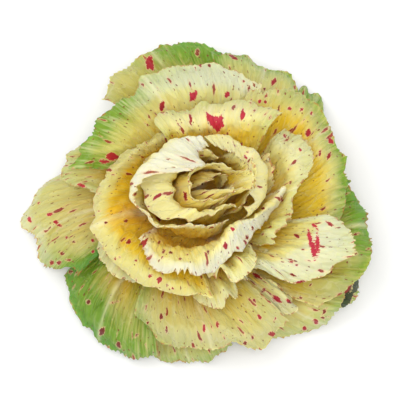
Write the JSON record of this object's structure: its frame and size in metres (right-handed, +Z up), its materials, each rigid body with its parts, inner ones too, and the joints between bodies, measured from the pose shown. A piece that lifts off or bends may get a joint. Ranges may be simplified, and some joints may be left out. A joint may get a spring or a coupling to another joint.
{
  "type": "radicchio head",
  "caption": "Loose, open head of speckled variegated radicchio, cut at the root and standing on its cut stem, with waved leaves nested round a folded heart.",
  "frame": {"origin": "centre of the flat cut at the foot of the stem", "axes": "+Z up along the stem to the heart, +X to the right and +Y away from the viewer of the picture"},
  "size_m": [0.2254, 0.2093, 0.0932],
  "materials": {
    "stem": "matt, moist cut",
    "heart_leaf": "satin leaf, golden yellow",
    "rim_leaf": "satin leaf, cream with crimson flecks",
    "open_leaf": "satin leaf, pale yellow-green with crimson flecks",
    "green_leaf": "satin leaf, pale at the middle with green margins and crimson flecks"
  },
  "bodies": {
    "root": {"stem_core": "stem", "bud_leaf_front": "heart_leaf", "bud_leaf_back": "heart_leaf", "heart_leaf_right": "heart_leaf", "heart_leaf_left": "heart_leaf", "heart_leaf_front": "heart_leaf", "heart_leaf_east": "heart_leaf", "heart_leaf_west": "heart_leaf", "hood_leaf_right": "rim_leaf", "hood_leaf_left": "rim_leaf", "collar_leaf_front": "rim_leaf", "rose_leaf_back": "rim_leaf", "collar_leaf_right": "rim_leaf", "collar_leaf_left": "rim_leaf", "rose_leaf_left": "open_leaf", "rose_leaf_right": "open_leaf", "rose_leaf_front": "open_leaf", "rose_leaf_hidden": "open_leaf", "open_leaf_back": "open_leaf", "open_leaf_right": "open_leaf", "open_leaf_front_right": "open_leaf", "open_leaf_front": "open_leaf", "open_leaf_front_left": "open_leaf", "outer_leaf_back": "green_leaf", "outer_leaf_back_right": "green_leaf", "outer_leaf_right": "green_leaf", "outer_leaf_front_right": "green_leaf", "outer_leaf_front": "green_leaf", "outer_leaf_front_left": "green_leaf", "outer_leaf_left_tip": "green_leaf", "base_leaf_front_left": "green_leaf", "base_leaf_front": "green_leaf", "base_leaf_front_right": "green_leaf", "base_leaf_right": "green_leaf", "base_leaf_back_right": "green_leaf", "base_leaf_back": "green_leaf", "base_leaf_back_left": "green_leaf", "base_leaf_left": "green_leaf"}
  },
  "joints": []
}
